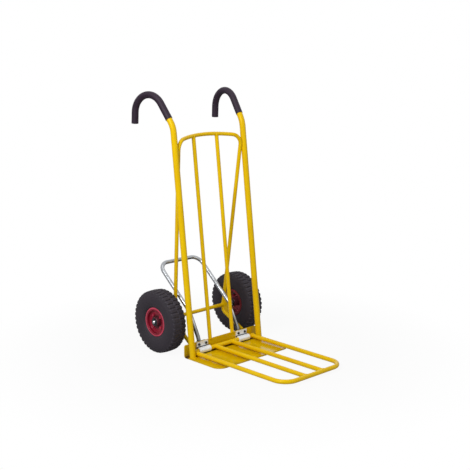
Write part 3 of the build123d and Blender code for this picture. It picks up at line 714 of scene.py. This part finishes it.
def capGrid(low, high, c):
    radius, height = (high[0] - low[0]) / 2, high[2] - low[2]
    phi = fullTurn(c["flutes"] * c["fluteCuts"])
    even = phi * 0
    fluted = radius - c["fluteDepth"] * (0.5 - 0.5 * np.cos(c["flutes"] * phi))
    side, ceiling = height - c["dome"], height - c["roof"]
    chamferIn, chamferUp = c["mouth"]
    domeRadius, domeStart = (radius - c["fluteDepth"]) * c["domeShare"], side + c["domeFoot"]
    domeRise = c["dome"] - c["domeFoot"]
    rows = [(even, even + ceiling), (even + c["bore"], even + ceiling), (even + c["bore"], even),
            (fluted - chamferIn, even), (fluted, even + chamferUp), (fluted, even + side),
            (even + domeRadius, even + domeStart)]
    rows += [(even + domeRadius * np.cos(t), even + domeStart + domeRise * np.sin(t)) for t in c["domeCuts"]]
    return axisGrid((*((low + high) / 2)[:2], high[2]), (0, 0, -1), phi, rows), False, True


for word in sides:
    grids = [capGrid(*boxOf(word + "_valve_cap"), valveCap)]
    cap = makePiece(word + "FlutedValveCap", grids, blackPlastic, word + "_wheel",
                    valveCap["sharp"])
    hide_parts(word + "_valve_cap")
print("pins bent and valve caps fluted")

# Stage: a pale floor that stays white to the camera and keeps a faint shadow
stage = {"floorSize": 60.0, "floorDrop": 0.0003, "floorGrey": 0.6, "floorRough": 0.9, "shadowShare": 0.07,
         "shadowReach": 1.1, "shadowFull": 0.5, "ambient": 0.36}
half = stage["floorSize"] / 2
corners = [(x * half, y * half, -stage["floorDrop"]) for x, y in ((-1, -1), (1, -1), (1, 1), (-1, 1))]
floorMesh = bpy.data.meshes.new("studioFloor")
floorMesh.from_pydata(corners, [], [(0, 1, 2, 3)])
floor = bpy.data.objects.new("studioFloor", floorMesh)
bpy.context.scene.collection.objects.link(floor)
paper, tree, shader, place = newMaterial("whitePaper")
shader.inputs["Base Color"].default_value = (*[stage["floorGrey"]] * 3, 1)
shader.inputs["Roughness"].default_value = stage["floorRough"]
shader.inputs["Specular IOR Level"].default_value = 0.0
path = addNode(tree, "LightPath", {})
# the floor keeps its shadow near the truck and is plain white farther out
shrunk = addNode(tree, "Mapping", {"Vector": place, "Scale": [1 / stage["shadowReach"]] * 3})
near = addNode(tree, "TexGradient", {"Vector": shrunk.outputs[0]}, gradient_type="SPHERICAL")
plain = spread(tree, near.outputs[1], span=(0.0, stage["shadowFull"]), target=(1.0, 1 - stage["shadowShare"]))
seen = addNode(tree, "Math", {0: path.outputs["Is Camera Ray"], 1: plain}, operation="MULTIPLY")
white = addNode(tree, "Emission", {"Strength": 1.0})
mixed = addNode(tree, "MixShader", {0: seen.outputs[0], 1: shader.outputs[0], 2: white.outputs[0]})
tree.links.new(mixed.outputs[0], tree.nodes["Material Output"].inputs["Surface"])
floorMesh.materials.append(paper)

# the sky is full white to the camera and in reflections, and dimmer as a light
world = bpy.data.worlds.new("whiteStudio")
bpy.context.scene.world = world
world.use_nodes = True
tree = world.node_tree
path = addNode(tree, "LightPath", {})
seen = path.outputs["Is Camera Ray"]
for ray in ("Is Glossy Ray", "Is Transmission Ray"):
    seen = addNode(tree, "Math", {0: seen, 1: path.outputs[ray]}, operation="MAXIMUM").outputs[0]
sky = tree.nodes["Background"]
sky.inputs["Color"].default_value = (1, 1, 1, 1)
level = spread(tree, seen, span=(0.0, 1.0), target=(stage["ambient"], 1.0))
tree.links.new(level, sky.inputs["Strength"])

# Lamps: (place, aim, size in metres, watts)
lamps = {
    "keySoftbox": ((-2.5, -0.8, 2.4), (0, 0.1, 0.8), 1.2, 72),
    "fillSoftbox": ((0.6, -2.8, 1.7), (0, 0.1, 0.7), 1.6, 9),
    "topSoftbox": ((0.2, 0.0, 2.7), (0, 0.1, 0.6), 1.4, 6)}
for name, (place, aim, size, watts) in lamps.items():
    light = bpy.data.lights.new(name, "AREA")
    light.size = size
    light.energy = watts
    lamp = bpy.data.objects.new(name, light)
    lamp.location = place
    lamp.rotation_euler = (Vector(aim) - Vector(place)).to_track_quat("-Z", "Y").to_euler()
    bpy.context.scene.collection.objects.link(lamp)

# Camera at the photograph's place
view = {"place": (-2.754052, -2.932749, 1.33499), "pitchDown": 11.82, "yaw": -43.68, "lens": 76.193,
        "sensor": 36}
lens = bpy.data.cameras.new("photoCamera")
lens.sensor_width = view["sensor"]
lens.lens = view["lens"]
camera = bpy.data.objects.new("photoCamera", lens)
camera.location = view["place"]
camera.rotation_euler = (radians(90 - view["pitchDown"]), 0, radians(view["yaw"]))
bpy.context.scene.collection.objects.link(camera)
bpy.context.scene.camera = camera
bpy.context.scene.view_settings.view_transform = "Standard"
print("stage, lamps and camera set")
